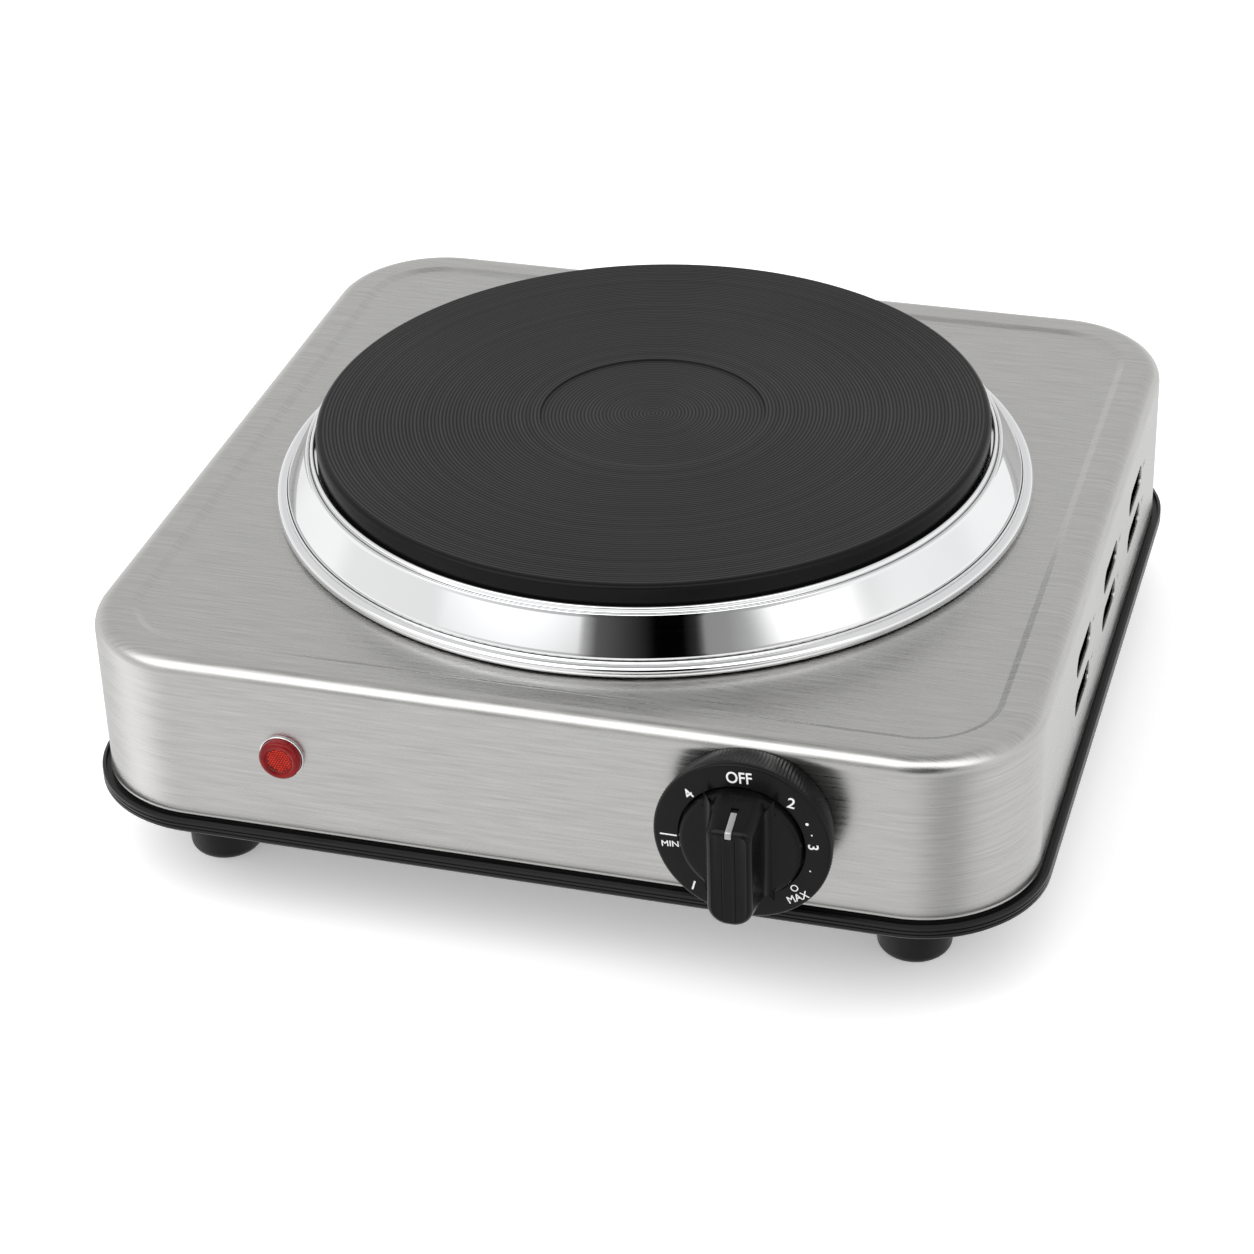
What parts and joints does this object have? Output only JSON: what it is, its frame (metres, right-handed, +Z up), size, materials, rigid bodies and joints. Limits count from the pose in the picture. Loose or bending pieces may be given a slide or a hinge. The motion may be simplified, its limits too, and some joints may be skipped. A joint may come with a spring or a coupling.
{
  "type": "hot plate burner",
  "caption": "Portable electric hot plate: round iron plate in a chromed ring on a low brushed-steel box with a black base and feet, a dial with a turning knob, a red lamp and side vents.",
  "frame": {"origin": "on the floor, under the middle of the object's box", "axes": "+Z up, -Y to the front with the dial and lamp, +X to the right seen from the front"},
  "size_m": [0.258, 0.2712, 0.0935],
  "materials": {
    "brushed_steel": "brushed stainless steel, fine straight grain, satin",
    "base_black": "black enamelled pan, semi-gloss with rolled lines round its edge",
    "rubber": "matt black rubber",
    "zinc_steel": "bright zinc plating on steel",
    "cast_iron": "blackened cast iron with fine turned rings, satin",
    "chrome": "polished chrome",
    "heater_sheath": "oxidised heater sheath, dull",
    "ceramic": "unglazed white ceramic",
    "knob_black": "black moulded phenolic, satin, with white dial print",
    "pointer_silver": "silver-grey moulded insert, satin",
    "brass": "plain brass",
    "red_lens": "translucent red lens, polished",
    "bulb_glass": "clear glass with a warm glow tube",
    "wire_white": "white heat-proof sleeve",
    "wire_brown": "brown insulation",
    "wire_blue": "blue insulation",
    "wire_green": "green and yellow insulation"
  },
  "bodies": {
    "burner": {"adjusting_blade": "brass", "base_pan": "base_black", "bimetal_strip": "zinc_steel", "block_screw": "zinc_steel", "body_shell": "brushed_steel", "cable_gland": "rubber", "clamp_channel": "zinc_steel", "clamp_nut": "zinc_steel", "clamp_spacer": "zinc_steel", "clamp_washer": "zinc_steel", "contact_blade": "brass", "corner_bracket_front_left": "zinc_steel", "corner_bracket_front_right": "zinc_steel", "corner_bracket_rear_left": "zinc_steel", "corner_bracket_rear_right": "zinc_steel", "dial_ring": "knob_black", "dial_screw_lower": "zinc_steel", "dial_screw_upper": "zinc_steel", "earth_screw": "zinc_steel", "earth_wire": "wire_green", "foot_front_left": "rubber", "foot_front_right": "rubber", "foot_rear_left": "rubber", "foot_rear_right": "rubber", "foot_screw_front_left": "zinc_steel", "foot_screw_front_right": "zinc_steel", "foot_screw_rear_left": "zinc_steel", "foot_screw_rear_right": "zinc_steel", "fuse_wire": "wire_brown", "heat_shield": "zinc_steel", "heater_wire": "wire_white", "heating_coil": "heater_sheath", "hot_plate": "cast_iron", "lamp_bulb": "bulb_glass", "lamp_clip": "zinc_steel", "lamp_lens": "red_lens", "lamp_plug": "wire_white", "lamp_wire_live": "wire_white", "lamp_wire_return": "wire_blue", "live_wire": "wire_brown", "mains_terminal_block": "ceramic", "plate_cover": "zinc_steel", "plate_stud": "zinc_steel", "plate_terminal_block": "ceramic", "return_wire": "wire_blue", "shield_nut_lower": "zinc_steel", "shield_nut_upper": "zinc_steel", "spill_ring": "chrome", "stack_insulator_1": "ceramic", "stack_insulator_2": "ceramic", "stack_insulator_3": "ceramic", "stack_insulator_4": "ceramic", "stack_rivet": "zinc_steel", "thermal_fuse": "wire_white", "thermostat_bush": "brass", "thermostat_mount": "zinc_steel"},
    "knob": {"control_knob": "knob_black", "knob_pointer": "pointer_silver", "thermostat_shaft": "brass"}
  },
  "joints": [
    {"name": "knob_turn", "type": "hinge", "parent": "burner", "child": "knob", "pos_m": [0.0589, -0.11205, 0.051], "axis": [0, 1, 0], "range_deg": [0, 315]}
  ]
}
